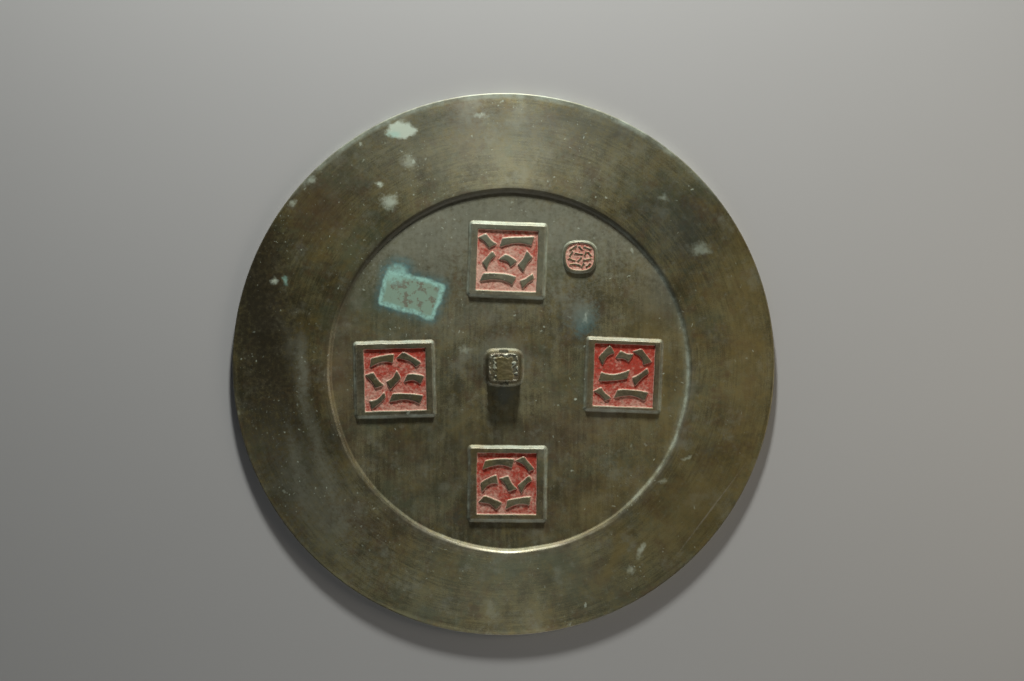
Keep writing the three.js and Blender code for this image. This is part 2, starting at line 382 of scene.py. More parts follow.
def disc_profile(s):
    """Radius and height of each ring, from the middle of the reflecting face round to the field's middle."""
    face_round = 0.6 * MM
    top = s.band_height
    step_rings = 14
    step_out = s.field_radius + s.step_width + 0.8 * MM
    step_in = s.field_radius - 0.8 * MM
    points = [(r, 0) for r in even_steps(0, MIRROR_RADIUS - face_round, 30 * MM)]
    points += arc((MIRROR_RADIUS - face_round, face_round), face_round, -90, 0, 4)
    points += arc((MIRROR_RADIUS - s.edge_round, top - s.edge_round), s.edge_round, 0, 90, 6)
    points += [
        (r, top) for r in even_steps(MIRROR_RADIUS - s.edge_round - 0.8 * MM, step_out, s.ring_spacing)
    ]
    for i in range(step_rings):
        share = i / step_rings
        fall = smooth(0.08, 0.92, share)
        points.append((step_out + (step_in - step_out) * share, top - s.field_depth * fall))
    field = [(r, top - s.field_depth) for r in even_steps(step_in, 0, s.ring_spacing)]
    return points + field + [(0, top - s.field_depth)]


def build_disc(s, materials):
    """The spun disc, with its field moved off centre and its plain surfaces made a little uneven."""
    bm = bmesh.new()
    ring = [bm.verts.new((r, 0, z)) for r, z in disc_profile(s)]
    edges = [bm.edges.new(pair) for pair in zip(ring, ring[1:])]
    bmesh.ops.spin(
        bm,
        geom=ring + edges,
        cent=(0, 0, 0),
        axis=(0, 0, 1),
        angle=math.tau,
        steps=s.segments,
        use_merge=True,
    )
    bmesh.ops.remove_doubles(bm, verts=bm.verts, dist=1e-6)
    bmesh.ops.recalc_face_normals(bm, faces=bm.faces)

    places = coordinates(bm.verts)
    radius = np.hypot(places[:, 0], places[:, 1])
    step_top = s.field_radius + s.step_width
    upper = places[:, 2] > s.band_height / 3
    inward = 1 - smooth(step_top + 3 * MM, MIRROR_RADIUS - 6 * MM, radius)
    places[upper, :2] += np.array(FIELD_CENTRE)[:2] * inward[upper, None]
    inner = upper & (radius < MIRROR_RADIUS - s.edge_round)
    wave = uneven(places[inner], 38 * MM, DISC_SEED, 3)
    ripple = uneven(places[inner], 9 * MM, DISC_SEED + 1, 2)
    places[inner, 2] += s.waviness * wave + 0.12 * s.waviness * ripple
    near_step = bell(radius, step_top - s.step_width / 2, 4 * MM)
    bend = uneven(places[inner], 30 * MM, DISC_SEED + 2, 2) * near_step[inner] * 0.5 * MM
    places[inner, :2] *= 1 + (bend / np.maximum(radius[inner], 1 * MM))[:, None]
    places[inner, 2] -= 0.35 * MM * smooth(MIRROR_RADIUS - 7 * MM, MIRROR_RADIUS + 1 * MM, radius[inner])
    move_to(bm.verts, places)

    for face in bm.faces:
        middle = face.calc_center_median()
        if middle.z < 0.1 * MM:
            face.material_index = 2
        elif (middle - FIELD_CENTRE).xy.length > s.field_radius + s.step_width / 2:
            face.material_index = 1

    # The side of the step that faces the lamp gets a painted highlight of bright metal, and the rim is rubbed
    # bright all round
    rings = radius - s.field_radius
    lamp_facing_side = smooth(-0.04, 0.03, -places[:, 1])
    wear_and_highlight = near_step * (rings > s.step_width * 0.6) * lamp_facing_side
    rim = smooth(MIRROR_RADIUS - 0.9 * MM, MIRROR_RADIUS - 0.3 * MM, radius)

    # Pale crust lies on the right of the step, and a painted highlight in the same pale colour along the far
    # rim, on the lamp's side
    lamp_side_rim = smooth(0.08, 0.16, places[:, 1])
    rim_start = MIRROR_RADIUS - (1.2 + 2.6 * lamp_side_rim) * MM
    rim_highlight = smooth(0, 1 * MM, radius - rim_start) * lamp_side_rim
    step_crust = bell(rings, 1 * MM, 1.5 * MM) * upper * smooth(0.05, 0.11, places[:, 0])
    masks = {
        "wear_and_highlight": np.maximum(0.9 * wear_and_highlight, 0.8 * rim),
        # Painted shade at the foot of the step, where the step's shadow falls
        "painted_step_shade": bell(rings, 1.2 * MM, 2.4 * MM) * upper,
        "crust_and_highlight": np.maximum(step_crust, rim_highlight),
    }
    return to_object(bm, "mirror_disc", materials, masks)


def relief_block(width, depth, spacing, sink, relief):
    """A closed block with a fine grid on top, raised by the relief.

    The relief gives heights and masks for x, y.
    """
    bm = bmesh.new()
    bmesh.ops.create_grid(
        bm,
        x_segments=round(width / spacing),
        y_segments=round(depth / spacing),
        size=0.5,
    )
    bmesh.ops.scale(bm, vec=(width, depth, 1), verts=bm.verts)
    places = coordinates(bm.verts)
    places[:, 2], masks = relief(places[:, 0], places[:, 1])
    move_to(bm.verts, places)
    border = [edge for edge in bm.edges if edge.is_boundary]
    wall = bmesh.ops.extrude_edge_only(bm, edges=border)["geom"]
    foot = [item for item in wall if isinstance(item, bmesh.types.BMVert)]
    for vertex in foot:
        vertex.co.z = -sink
    bmesh.ops.contextual_create(bm, geom=[item for item in wall if isinstance(item, bmesh.types.BMEdge)])
    bmesh.ops.recalc_face_normals(bm, faces=bm.faces)
    masks = {name: np.concatenate([values, np.zeros(len(foot))]) for name, values in masks.items()}
    bm.verts.index_update()
    for face in bm.faces:
        pigment = sum(masks["pigment"][vertex.index] for vertex in face.verts)
        face.material_index = int(pigment > 0.5 * len(face.verts))
    return bm, masks


def panel_relief(s, spec, seed):
    """The relief of one framed panel about its own middle."""
    size, ground, shift = (np.array(spec[key]) * MM for key in ("size", "ground", "shift"))
    area = ground - 2 * s.row_margin
    slope_width = s.frame_draft + s.foot_spread

    def relief(x, y):
        points = np.column_stack([x, y, np.zeros_like(x)])
        wobble = uneven(points, 11 * MM, seed) * 0.25 * MM + uneven(points, 3 * MM, seed + 1) * 0.09 * MM
        top_x, top_y = size / 2 - s.frame_draft
        past_top = rounded_box(x, y, top_x, top_y, s.corner_radius) + wobble
        inner_x, inner_y = x - shift[0], y - shift[1]
        inner = rounded_box(inner_x, inner_y, ground[0] / 2, ground[1] / 2, 0.7 * MM) - wobble
        fall = np.clip((past_top + 0.25 * MM) / slope_width, 0, 1)
        hollow = 1.18 * s.frame_height * (1 - fall) ** 2.1
        frame = soft_least(np.full_like(x, s.frame_height), hollow, 0.3 * MM)
        ground_down = 1 - smooth(-0.5 * MM, 0.3 * MM, inner)
        raised = strokes_height(
            inner_x + wobble, inner_y + wobble, spec["rows"], area, s.stroke_width, 0.5 * MM
        )
        raised = raised * ground_down
        cast = uneven(points, 4.5 * MM, seed + 2, 3)
        pitted = uneven(points, 1.5 * MM, seed + 3, 2)
        bare = 1 - ground_down * (1 - raised)
        height = frame - s.ground_depth * ground_down + s.stroke_height * raised
        height += cast * 0.05 * MM * (1 - fall) + pitted * MM * (0.1 - 0.07 * bare) * ground_down
        height -= 0.15 * MM * smooth(0.8, 1, fall)
        slopes = 4 * np.maximum(ground_down * (1 - ground_down), 0.6 * raised * (1 - raised))
        # Each ground is made paler toward its bottom and redder toward its top
        low_side = np.clip(0.5 - inner_y / ground[1], 0, 1)
        patchy = uneven(points, 9 * MM, seed + 4, 2)
        crest = bell(past_top, 0.15 * MM, 0.3 * MM)
        return height, {
            "pigment": (1 - bare) * (1 - 0.55 * np.clip(slopes, 0, 1)),
            "dust": np.clip(spec["dust"] + 0.35 * (low_side - 0.5) + 0.25 * patchy + slopes, 0, 1),
            "wear_and_highlight": np.maximum(0.8 * crest, 0.6 * np.clip(slopes, 0, 1)),
            "crust_and_highlight": bell(past_top, 0.8 * MM, 0.9 * MM),
        }

    return relief


def place_block(bm, centre, turn, height):
    matrix = Matrix.Translation((centre[0], centre[1], height)) @ Matrix.Rotation(turn, 4, "Z")
    bmesh.ops.transform(bm, matrix=matrix, verts=bm.verts)


def build_panel(s, field_height, name, spec, seed, materials):
    margin = 2 * (s.foot_spread + 0.4 * MM)
    width, depth = (side * MM + margin for side in spec["size"])
    bm, masks = relief_block(width, depth, s.grid, ROOT, panel_relief(s, spec, seed))
    centre = [value * MM for value in spec["centre"]]
    place_block(bm, centre, math.radians(spec["turn"]), field_height)
    return to_object(bm, name, materials, masks)


def seal_relief(s):
    """The relief of the seal about its own middle: a thin rim round small strokes."""

    def relief(x, y):
        points = np.column_stack([x, y, np.zeros_like(x)])
        wobble = uneven(points, 6 * MM, SEAL_SEED) * 0.25 * MM
        outer = squircle(x, y, s.width / 2, s.depth / 2, 2.7) + wobble
        draft = 0.9 * MM
        boss = 1 - smooth(-draft - 0.2 * MM, 0.3 * MM, outer)
        sunk = 1 - smooth(-draft - s.rim - 0.35 * MM, -draft - s.rim + 0.45 * MM, outer)
        area = (s.width * 0.7, s.depth * 0.7)
        raised = strokes_height(x, y, SEAL_ROWS, area, 1.6 * MM, 0.3 * MM) * sunk
        rough = uneven(points, 1.4 * MM, SEAL_SEED + 1, 2)
        height = s.height * boss - s.recess * sunk + 0.45 * MM * raised
        height += rough * 0.12 * MM * sunk + (1 - boss) * -0.04 * MM
        return height, {
            "pigment": sunk * (1 - raised),
            "dust": np.clip(0.6 + 0.3 * rough, 0, 1),
            "wear_and_highlight": bell(outer, -draft, 0.5 * MM),
            "crust_and_highlight": bell(outer, 0.1 * MM, 0.8 * MM),
        }

    return relief


def build_seal(s, field_height, materials):
    margin = 2 * MM
    bm, masks = relief_block(s.width + margin, s.depth + margin, s.grid, ROOT, seal_relief(s))
    place_block(bm, SEAL_CENTRE, 0, field_height)
    return to_object(bm, "seal", materials, masks)


def knob_profile(s, height):
    """Share of the top's half width and height of each ring of the knob, from its foot to its top."""
    half = s.width / 2
    foot = -ROOT
    outline = [
        (s.flare + 0.6 * MM, foot), (s.flare, 0), (s.flare * 0.75, 0.35 * MM), (s.flare * 0.54, 1 * MM)
    ]
    outline += [(s.flare * 0.36, 2 * MM), (0.95 * MM, 4 * MM), (0.4 * MM, 8 * MM), (0, height - 1.1 * MM)]
    outline += [(-0.25 * MM, height - 0.35 * MM), (-0.8 * MM, height)]
    return [(0, foot)] + [(1 + spread / half, z) for spread, z in outline] + [(0, height)]


def stamp_relief(x, y, s):
    """How far the knob's worn top stands below its rim, with its raised block and its crusted borders."""
    points = np.column_stack([x, y, np.zeros_like(x)])
    wave = uneven(points, 1.7 * MM, KNOB_SEED) * 1.1 * MM
    past_block = rounded_box(x - 0.7 * MM, y + 1.1 * MM, 5.3 * MM, 7.7 * MM, 1 * MM) + wave
    block = 1 - smooth(-0.3 * MM, 0.4 * MM, past_block)
    rim = smooth(-0.9 * MM, -0.3 * MM, rounded_box(x, y, s.width / 2, s.depth / 2, 2 * MM))
    channel = (1 - block) * (1 - rim)
    lumps = smooth(0, 0.4, uneven(points, 1.7 * MM, KNOB_SEED + 1)) * channel
    worn = uneven(points, 2.6 * MM, KNOB_SEED + 2, 2)
    return -0.35 * MM * channel + 0.45 * MM * lumps + 0.16 * MM * worn * block, block, lumps


def build_knob(s, field_height, materials):
    """The pierced knob: a spun post made square, cut by the cord hole, then remeshed as one cast skin."""
    height = MIRROR_TOP - field_height
    bm = bmesh.new()
    ring = [bm.verts.new((r, 0, z)) for r, z in knob_profile(s, height)]
    edges = [bm.edges.new(pair) for pair in zip(ring, ring[1:])]
    bmesh.ops.spin(
        bm, geom=ring + edges, cent=(0, 0, 0), axis=(0, 0, 1), angle=math.tau, steps=96, use_merge=True
    )
    bmesh.ops.remove_doubles(bm, verts=bm.verts, dist=1e-6)
    places = coordinates(bm.verts)
    radius = np.hypot(places[:, 0], places[:, 1])
    solid = radius > 1e-6
    power = 4 + 5 * smooth(0, height / 2, places[solid, 2])
    unit = np.abs(places[solid, :2] / radius[solid, None])
    spread = (unit[:, 0] ** power + unit[:, 1] ** power) ** (-1 / power)
    places[solid, :2] *= spread[:, None] * np.array([s.width, s.depth]) / 2
    move_to(bm.verts, places)
    bmesh.ops.recalc_face_normals(bm, faces=bm.faces)
    place_block(bm, KNOB_CENTRE, 0, field_height)
    post = to_object(bm, "knob", materials)

    cutter = build_hole(s, field_height)
    cut = post.modifiers.new("cord hole", "BOOLEAN")
    cut.object = cutter
    skin = post.modifiers.new("cast skin", "REMESH")
    skin.mode = "VOXEL"
    skin.voxel_size = s.grid
    soften = post.modifiers.new("soften", "SMOOTH")
    soften.factor = 0.5
    soften.iterations = 3
    apply_modifiers(post)
    bpy.data.objects.remove(cutter)

    mesh = post.data
    places = coordinates(mesh.vertices)
    x, y = places[:, 0] - KNOB_CENTRE.x, places[:, 1] - KNOB_CENTRE.y
    top = smooth(MIRROR_TOP - 1.2 * MM, MIRROR_TOP - 0.4 * MM, places[:, 2])
    sunk, block, lumps = stamp_relief(x, y, s)
    places[:, 2] += sunk * top
    skin_noise = uneven(places, 3 * MM, KNOB_SEED + 3, 2) * 0.07 * MM
    places += np.array([v.normal for v in mesh.vertices]) * skin_noise[:, None]
    mesh.vertices.foreach_set("co", places.astype(np.float32).ravel())
    edge = bell(rounded_box(x, y, s.width / 2, s.depth / 2, 2 * MM), 0, 0.9 * MM)
    low = bell(places[:, 2], field_height, 1.2 * MM)
    store_masks(
        mesh, {"wear_and_highlight": edge * top, "stamp": block * top, "crust_and_highlight": np.maximum(lumps * top, 0.25 * low)}
    )
    mesh.polygons.foreach_set("use_smooth", [True] * len(mesh.polygons))
    mesh.update()
    return post


def build_hole(s, field_height):
    """The arched prism that the cord hole takes out of the knob, along Y."""
    half = s.hole_width / 2
    reach = s.depth + 3 * s.flare
    outline = [(half, s.hole_floor)] + arc((0, s.hole_spring), half, 0, 180, 20) + [(-half, s.hole_floor)]
    bm = bmesh.new()
    end = bm.faces.new([bm.verts.new((x, -reach / 2, z)) for x, z in outline])
    swept = bmesh.ops.extrude_face_region(bm, geom=[end])["geom"]
    bmesh.ops.translate(bm, vec=(0, reach, 0), verts=[v for v in swept if isinstance(v, bmesh.types.BMVert)])
    bmesh.ops.recalc_face_normals(bm, faces=bm.faces)
    place_block(bm, KNOB_CENTRE, 0, field_height)
    return to_object(bm, "hole_cutter", [])


def apply_modifiers(piece):
    graph = bpy.context.evaluated_depsgraph_get()
    mesh = bpy.data.meshes.new_from_object(piece.evaluated_get(graph))
    piece.modifiers.clear()
    piece.data = mesh


# ---------------------------------------------------------------- finishes


def stain(paint, centre, half, feather, amount, turn=0.0):
    """One stain on the back: its paint, middle, half size, soft edge and turn in millimetres and degrees."""
    return {
        "Paint": paint,
        "Centre": (centre[0] * MM, centre[1] * MM, 0),
        "Half_Size": (half[0] * MM, half[1] * MM, 0),
        "Feather": feather * MM,
        "Amount": amount,
        "Turn": math.radians(turn),
    }


FIELD_STAINS = [
    stain("ochre_bronze", (104, 12), (10, 62), 60, 0.5),
    stain("green_bronze", (-78, 62), (34, 30), 60, 0.55),
    stain("blue_bronze", (104, 48), (12, 14), 26, 0.45),
    stain("brown_bronze", (40, -46), (26, 12), 40, 0.4, 20),
    stain("dark_field", (-40, -60), (30, 26), 50, 0.3),
    stain("blue_bronze", (49, 33), (8, 10), 20, 0.5, 20),
    stain("teal_stain", (53, 29), (6, 8), 10, 0.62, -20),
    stain("dusty_bronze", (50, 34), (8, 7), 9, 0.5, 30),
    stain("pale_crust_and_highlight", (54.5, 31), (0.4, 1.6), 2, 0.6, -15),
    stain("green_bronze", (0, -2), (15, 15), 8, 0.5),
    stain("dusty_bronze", (0, 3), (16, 15), 12, 0.5),
    stain("blue_bronze", (0.7, -19), (6, 6), 9, 0.6),
    stain("pale_crust_and_highlight", (-24.4, 9.2), (2, 1.5), 5, 0.35),
    stain("pale_crust_and_highlight", (48.5, -22.2), (0.4, 0.4), 1, 0.9),
    stain("ochre_bronze", (106, -24), (2, 30), 14, 0.5, 8),
    stain("ochre_bronze", (64, -92), (22, 10), 30, 0.45, 35),
    stain("dusty_bronze", (38, 45), (5, 2), 6, 0.5, -35),
    stain("dusty_bronze", (6, 94), (80, 17), 70, 0.95),
    stain("dusty_bronze", (-52, 78), (24, 14), 30, 0.5, 35),
    stain("brown_bronze", (-106, -14), (4, 34), 24, 0.5, 4),
    stain("dusty_bronze", (-16, 34), (24, 6), 30, 0.35, 15),
]
FRAME_STAINS = [
    # Painted shade over the left panel's frame, on the side that gets the least light
    stain("umber_bronze", (-72, -10), (30, 30), 12, 0.35),
    stain("dusty_bronze", (2, 70), (30, 30), 12, 0.35),
    stain("brown_bronze", (80, -7), (30, 30), 12, 0.3),
]
BAND_STAINS = [
    stain("dusty_bronze", (-20, 140), (90, 14), 60, 0.4),
    stain("brown_bronze", (-121.6, 101.4), (12, 12), 36, 0.65, 40),
    stain("brown_bronze", (-160, 42), (4, 30), 26, 0.5, 10),
    # Painted shade down the left of the band, on the side that gets the least light
    stain("umber_bronze", (-164, 36), (16, 84), 50, 1.0, 12),
    stain("ochre_bronze", (124, -94), (26, 18), 50, 0.55, 50),
    stain("ochre_bronze", (161, 9), (6, 50), 30, 0.6),
    stain("dusty_bronze", (-124, -88), (22, 12), 50, 0.5, -50),
    stain("green_bronze", (20, -145), (60, 12), 40, 0.35),
    stain("dark_band", (57.4, 156.8), (16, 5), 18, 0.5, -18),
    stain("brown_bronze", (98, -150), (8, 1.2), 4, 0.6, 35),
    stain("ochre_bronze", (72.5, -130.6), (3, 14), 6, 0.6, -30),
    stain("blue_bronze", (115, 90), (20, 14), 40, 0.45, -40),
    stain("blue_bronze", (10, 160), (70, 6), 30, 0.4),
    stain("pale_crust_and_highlight", (-68.5, 155.3), (8.4, 5.6), 2.6, 0.85, 12),
    stain("turquoise", (-72, 152), (3, 2), 4, 0.5),
    stain("pale_crust_and_highlight", (-82.8, 119.5), (1.6, 1.6), 2.2, 0.75),
    stain("pale_crust_and_highlight", (-75.1, 108.1), (4, 3.6), 6.5, 0.6),
    stain("pale_crust_and_highlight", (-63.1, 135.3), (3, 3), 6, 0.35),
    stain("pale_crust_and_highlight", (-14, 165), (2.4, 1), 3, 0.4),
    stain("pale_crust_and_highlight", (-129.6, 120.7), (2.4, 1.2), 3.4, 0.5, 40),
    stain("pale_crust_and_highlight", (-138.6, 106.7), (1.2, 1.2), 2.4, 0.5),
    stain("pale_crust_and_highlight", (-152.9, 54.9), (1.6, 2), 2.2, 0.7),
    stain("turquoise", (-145.1, 54.9), (1.8, 2.2), 2.6, 0.6),
    stain("dusty_bronze", (-134, -1), (2.6, 13), 6, 0.75, 3),
    stain("dusty_bronze", (-124, -52), (2, 26), 9, 0.6, 16),
    stain("dusty_bronze", (-138, -66), (2, 14), 8, 0.5, 12),
    stain("pale_crust_and_highlight", (106.3, 110.5), (1.8, 1), 3, 0.35),
    stain("pale_crust_and_highlight", (131, 77.6), (4.4, 3.4), 6, 0.35),
    stain("pale_crust_and_highlight", (91.1, -124.6), (1.6, 3.2), 3, 0.5, -20),
    stain("pale_crust_and_highlight", (85.7, -137.2), (1.4, 2), 3, 0.4),
    stain("pale_crust_and_highlight", (121, -60.8), (2, 0.7), 2, 0.4, 20),
    stain("pale_crust_and_highlight", (104.2, -77.8), (1.8, 0.7), 2, 0.4, 20),
    stain("bare_metal_and_highlight", (135.9, -99), (17, 0.25), 0.9, 0.7, 53),
]


PATINA_PAINTS = ("Brown", "Ochre", "Green", "Blue", "Dusty", "Umber")

# What the patina's noise lays over its olive, in order: paint, fineness, where it starts and its strength
PATINA_ZONES = [
    ("Brown", 19.0, 0.5, 0.65),
    ("Ochre", 31.0, 0.49, 0.65),
    ("Green", 24.0, 0.48, 0.7),
    ("Blue", 38.0, 0.54, 0.5),
    ("Umber", 27.0, 0.53, 0.5),
    ("Brown", 95.0, 0.49, 0.6),
    ("Green", 150.0, 0.5, 0.5),
    ("Ochre", 120.0, 0.5, 0.55),
    ("Umber", 82.0, 0.53, 0.5),
    ("Dusty", 52.0, 0.52, 0.6),
    ("Dusty", 210.0, 0.54, 0.5),
]


class Graph:
    """Adds nodes to one tree and joins them up."""

    def __init__(self, tree):
        self.tree = tree

    def feed(self, socket, value):
        if isinstance(value, bpy.types.NodeSocket):
            self.tree.links.new(value, socket)
        else:
            socket.default_value = value

    def node(self, kind, inputs=None, **settings):
        node = self.tree.nodes.new(kind)
        for name, value in settings.items():
            setattr(node, name, value)
        for key, value in (inputs or {}).items():
            self.feed(node.inputs[key], value)
        return node

    def math(self, operation, *values, clamp=False):
        inputs = dict(enumerate(values))
        return self.node("ShaderNodeMath", inputs, operation=operation, use_clamp=clamp).outputs[0]

    def vector(self, operation, *values):
        node = self.node("ShaderNodeVectorMath", dict(enumerate(values)), operation=operation)
        return node.outputs["Value" if operation in ("LENGTH", "DOT_PRODUCT", "DISTANCE") else "Vector"]

    def scaled(self, vector, factors):
        return self.vector("MULTIPLY", vector, factors)

    def noise(self, vector, scale, detail=3.0, roughness=0.55):
        inputs = {"Vector": vector, "Scale": scale, "Detail": detail, "Roughness": roughness}
        return self.node("ShaderNodeTexNoise", inputs).outputs[0]

    def remap(self, value, low, high, to_low=0.0, to_high=1.0):
        inputs = {"Value": value, "From Min": low, "From Max": high, "To Min": to_low, "To Max": to_high}
        return self.node("ShaderNodeMapRange", inputs, interpolation_type="SMOOTHSTEP").outputs[0]

    def mix(self, factor, first, second):
        return self.node("ShaderNodeMix", {0: factor, 6: first, 7: second}, data_type="RGBA").outputs[2]

    def attribute(self, name):
        return self.node("ShaderNodeAttribute", attribute_name=name).outputs["Fac"]

    def coordinates(self):
        return self.node("ShaderNodeTexCoord").outputs["Object"]

    def use(self, group, **inputs):
        labels = {name.replace("_", " "): value for name, value in inputs.items()}
        node = self.node("ShaderNodeGroup", node_tree=group)
        for label, value in labels.items():
            self.feed(node.inputs[label], value)
        return node.outputs


def rgba(value):
    return (*value, 1.0)


def start_group(name, inputs, outputs):
    """A shader node group with its sockets, its graph and its two ends."""
    tree = bpy.data.node_groups.new(name, "ShaderNodeTree")
    for label, kind, value in inputs:
        socket = tree.interface.new_socket(label, in_out="INPUT", socket_type=kind)
        if value is not None:
            socket.default_value = value
    for label, kind in outputs:
        tree.interface.new_socket(label, in_out="OUTPUT", socket_type=kind)
    graph = Graph(tree)
    return tree, graph, graph.node("NodeGroupInput").outputs, graph.node("NodeGroupOutput").inputs


VECTOR, NUMBER, COLOUR = "NodeSocketVector", "NodeSocketFloat", "NodeSocketColor"


def patch_group():
    """Distance to a turned rectangle, negative inside it."""
    inputs = [
        ("Vector", VECTOR, None),
        ("Centre", VECTOR, (0, 0, 0)),
        ("Half Size", VECTOR, (0.005, 0.005, 0)),
        ("Turn", NUMBER, 0),
    ]
    tree, g, given, result = start_group("Patch Distance", inputs, [("Distance", NUMBER)])
    flat = g.scaled(g.vector("SUBTRACT", given["Vector"], given["Centre"]), (1, 1, 0))
    turned = g.node(
        "ShaderNodeVectorRotate",
        {"Vector": flat, "Angle": g.math("MULTIPLY", given["Turn"], -1.0)},
        rotation_type="Z_AXIS",
    ).outputs[0]
    past = g.vector("SUBTRACT", g.vector("ABSOLUTE", turned), given["Half Size"])
    outside = g.vector("LENGTH", g.scaled(g.vector("MAXIMUM", past, (0, 0, 0)), (1, 1, 0)))
    split = g.node("ShaderNodeSeparateXYZ", {0: past}).outputs
    inside = g.math("MINIMUM", g.math("MAXIMUM", split[0], split[1]), 0.0)
    g.feed(result["Distance"], g.math("ADD", outside, inside))
    return tree


def stain_group():
    """Lays one crumbling, soft-edged stain over the colour under it."""
    inputs = [
        ("Vector", VECTOR, None),
        ("Under", COLOUR, None),
        ("Paint", COLOUR, None),
        ("Crumble", NUMBER, 0),
        ("Centre", VECTOR, (0, 0, 0)),
        ("Half Size", VECTOR, (0.005, 0.005, 0)),
        ("Turn", NUMBER, 0),
        ("Feather", NUMBER, 0.002),
        ("Amount", NUMBER, 1),
    ]
    outputs = [("Color", COLOUR), ("Mask", NUMBER)]
    tree, g, given, result = start_group("Stain", inputs, outputs)
    flat = g.scaled(g.vector("SUBTRACT", given["Vector"], given["Centre"]), (1, 1, 0))
    angle = g.math("MULTIPLY", given["Turn"], -1.0)
    turned = g.node(
        "ShaderNodeVectorRotate", {"Vector": flat, "Angle": angle}, rotation_type="Z_AXIS"
    ).outputs[0]
    reach = g.vector("LENGTH", g.vector("DIVIDE", turned, given["Half Size"]))
    sides = g.node("ShaderNodeSeparateXYZ", {0: given["Half Size"]}).outputs
    distance = g.math("MULTIPLY", g.math("SUBTRACT", reach, 1.0), g.math("MINIMUM", sides[0], sides[1]))
    ragged = g.math("MULTIPLY_ADD", g.math("MULTIPLY", given["Crumble"], 1.6), given["Feather"], distance)
    share = g.math("DIVIDE", ragged, given["Feather"])
    mask = g.math("MULTIPLY", g.remap(share, -0.4, 0.6, 1.0, 0.0), given["Amount"])
    g.feed(result["Color"], g.mix(mask, given["Under"], given["Paint"]))
    g.feed(result["Mask"], mask)
    return tree


def speck_group():
    """Small ragged specks, one at most in each cell. Most are tiny and faint, and some are bigger."""
    inputs = [
        ("Vector", VECTOR, None),
        ("Cells", NUMBER, 90),
        ("Size", NUMBER, 0.0006),
        ("Share", NUMBER, 0.3),
    ]
    tree, g, given, result = start_group("Specks", inputs, [("Mask", NUMBER)])
    cells = g.node(
        "ShaderNodeTexVoronoi",
        {"Vector": given["Vector"], "Scale": given["Cells"]},
        voronoi_dimensions="2D",
    ).outputs
    pick = g.node("ShaderNodeSeparateColor", {0: cells["Color"]}).outputs
    shown = g.math("LESS_THAN", pick[0], given["Share"])
    size = g.math("MULTIPLY_ADD", g.math("POWER", pick[1], 4.0), 0.8, 0.2)
    radius = g.math("MULTIPLY", g.math("MULTIPLY", given["Size"], given["Cells"]), size)
    reach = g.math("DIVIDE", cells["Distance"], radius)
    spot = g.remap(reach, 0.4, 1.0, 1.0, 0.0)
    faint = g.math("MULTIPLY_ADD", pick[2], 0.7, 0.3)
    g.feed(result["Mask"], g.math("MULTIPLY", g.math("MULTIPLY", spot, shown), faint))
    return tree


def polish_group():
    """Fine streaks that run round the disc, with no seam."""
    inputs = [("Vector", VECTOR, None), ("Fineness", NUMBER, 900)]
    tree, g, given, result = start_group("Polish Marks", inputs, [("Streak", NUMBER)])
    flat = g.scaled(given["Vector"], (1, 1, 0))
    reach = g.vector("LENGTH", flat)
    heading = g.scaled(g.vector("NORMALIZE", flat), (7, 7, 0))
    split = g.node("ShaderNodeSeparateXYZ", {0: heading}).outputs
    height = g.math("MULTIPLY", reach, given["Fineness"])
    place = g.node("ShaderNodeCombineXYZ", {0: split[0], 1: split[1], 2: height}).outputs[0]
    g.feed(result["Streak"], g.noise(place, 1.0, 3.0, 0.6))
    return tree


def patina_group():
    """The bronze's olive patina: its colour, gloss, bare metal and fine height."""
    inputs = [("Vector", VECTOR, None)]
    inputs += [(paint, COLOUR, None) for paint in ("Light", "Dark", *PATINA_PAINTS)]
    inputs.append(("Streak", NUMBER, 0.5))
    outputs = [("Color", COLOUR), ("Roughness", NUMBER), ("Metallic", NUMBER), ("Height", NUMBER)]
    tree, g, given, result = start_group("Bronze Patina", inputs, outputs)
    place = given["Vector"]
    cloud = g.noise(place, 22.0, 6.0, 0.62)
    blotch = g.noise(place, 85.0, 5.0, 0.62)
    fine = g.noise(place, 420.0, 4.0, 0.6)
    grain = g.noise(place, 1500.0, 2.0)
    tone = g.math("MULTIPLY_ADD", cloud, 0.35, g.math("MULTIPLY", blotch, 0.25))
    tone = g.math("MULTIPLY_ADD", fine, 0.15, tone)
    tone = g.math("MULTIPLY_ADD", grain, 0.3, tone)
    tone = g.math("MULTIPLY_ADD", given["Streak"], 0.3, tone)
    tint = g.mix(g.remap(tone, 0.58, 0.77), given["Dark"], given["Light"])
    for index, (paint, scale, low, amount) in enumerate(PATINA_ZONES):
        zone = g.noise(g.vector("ADD", place, (3.1 * index + 3, 1.7, 2)), scale, 6.0, 0.68)
        tint = g.mix(g.remap(zone, low, low + 0.2, 0.0, amount), tint, given[paint])
    g.feed(result["Color"], tint)
    rough = g.math("MULTIPLY_ADD", blotch, 0.2, 0.4)
    g.feed(result["Roughness"], g.math("MULTIPLY_ADD", given["Streak"], 0.12, rough))
    g.feed(result["Metallic"], g.math("MULTIPLY_ADD", cloud, -0.4, 0.8))
    relief = g.math("MULTIPLY_ADD", grain, 0.25, fine)
    relief = g.math("MULTIPLY_ADD", given["Streak"], 0.3, relief)
    g.feed(result["Height"], g.math("MULTIPLY", relief, 0.00003))
    return tree


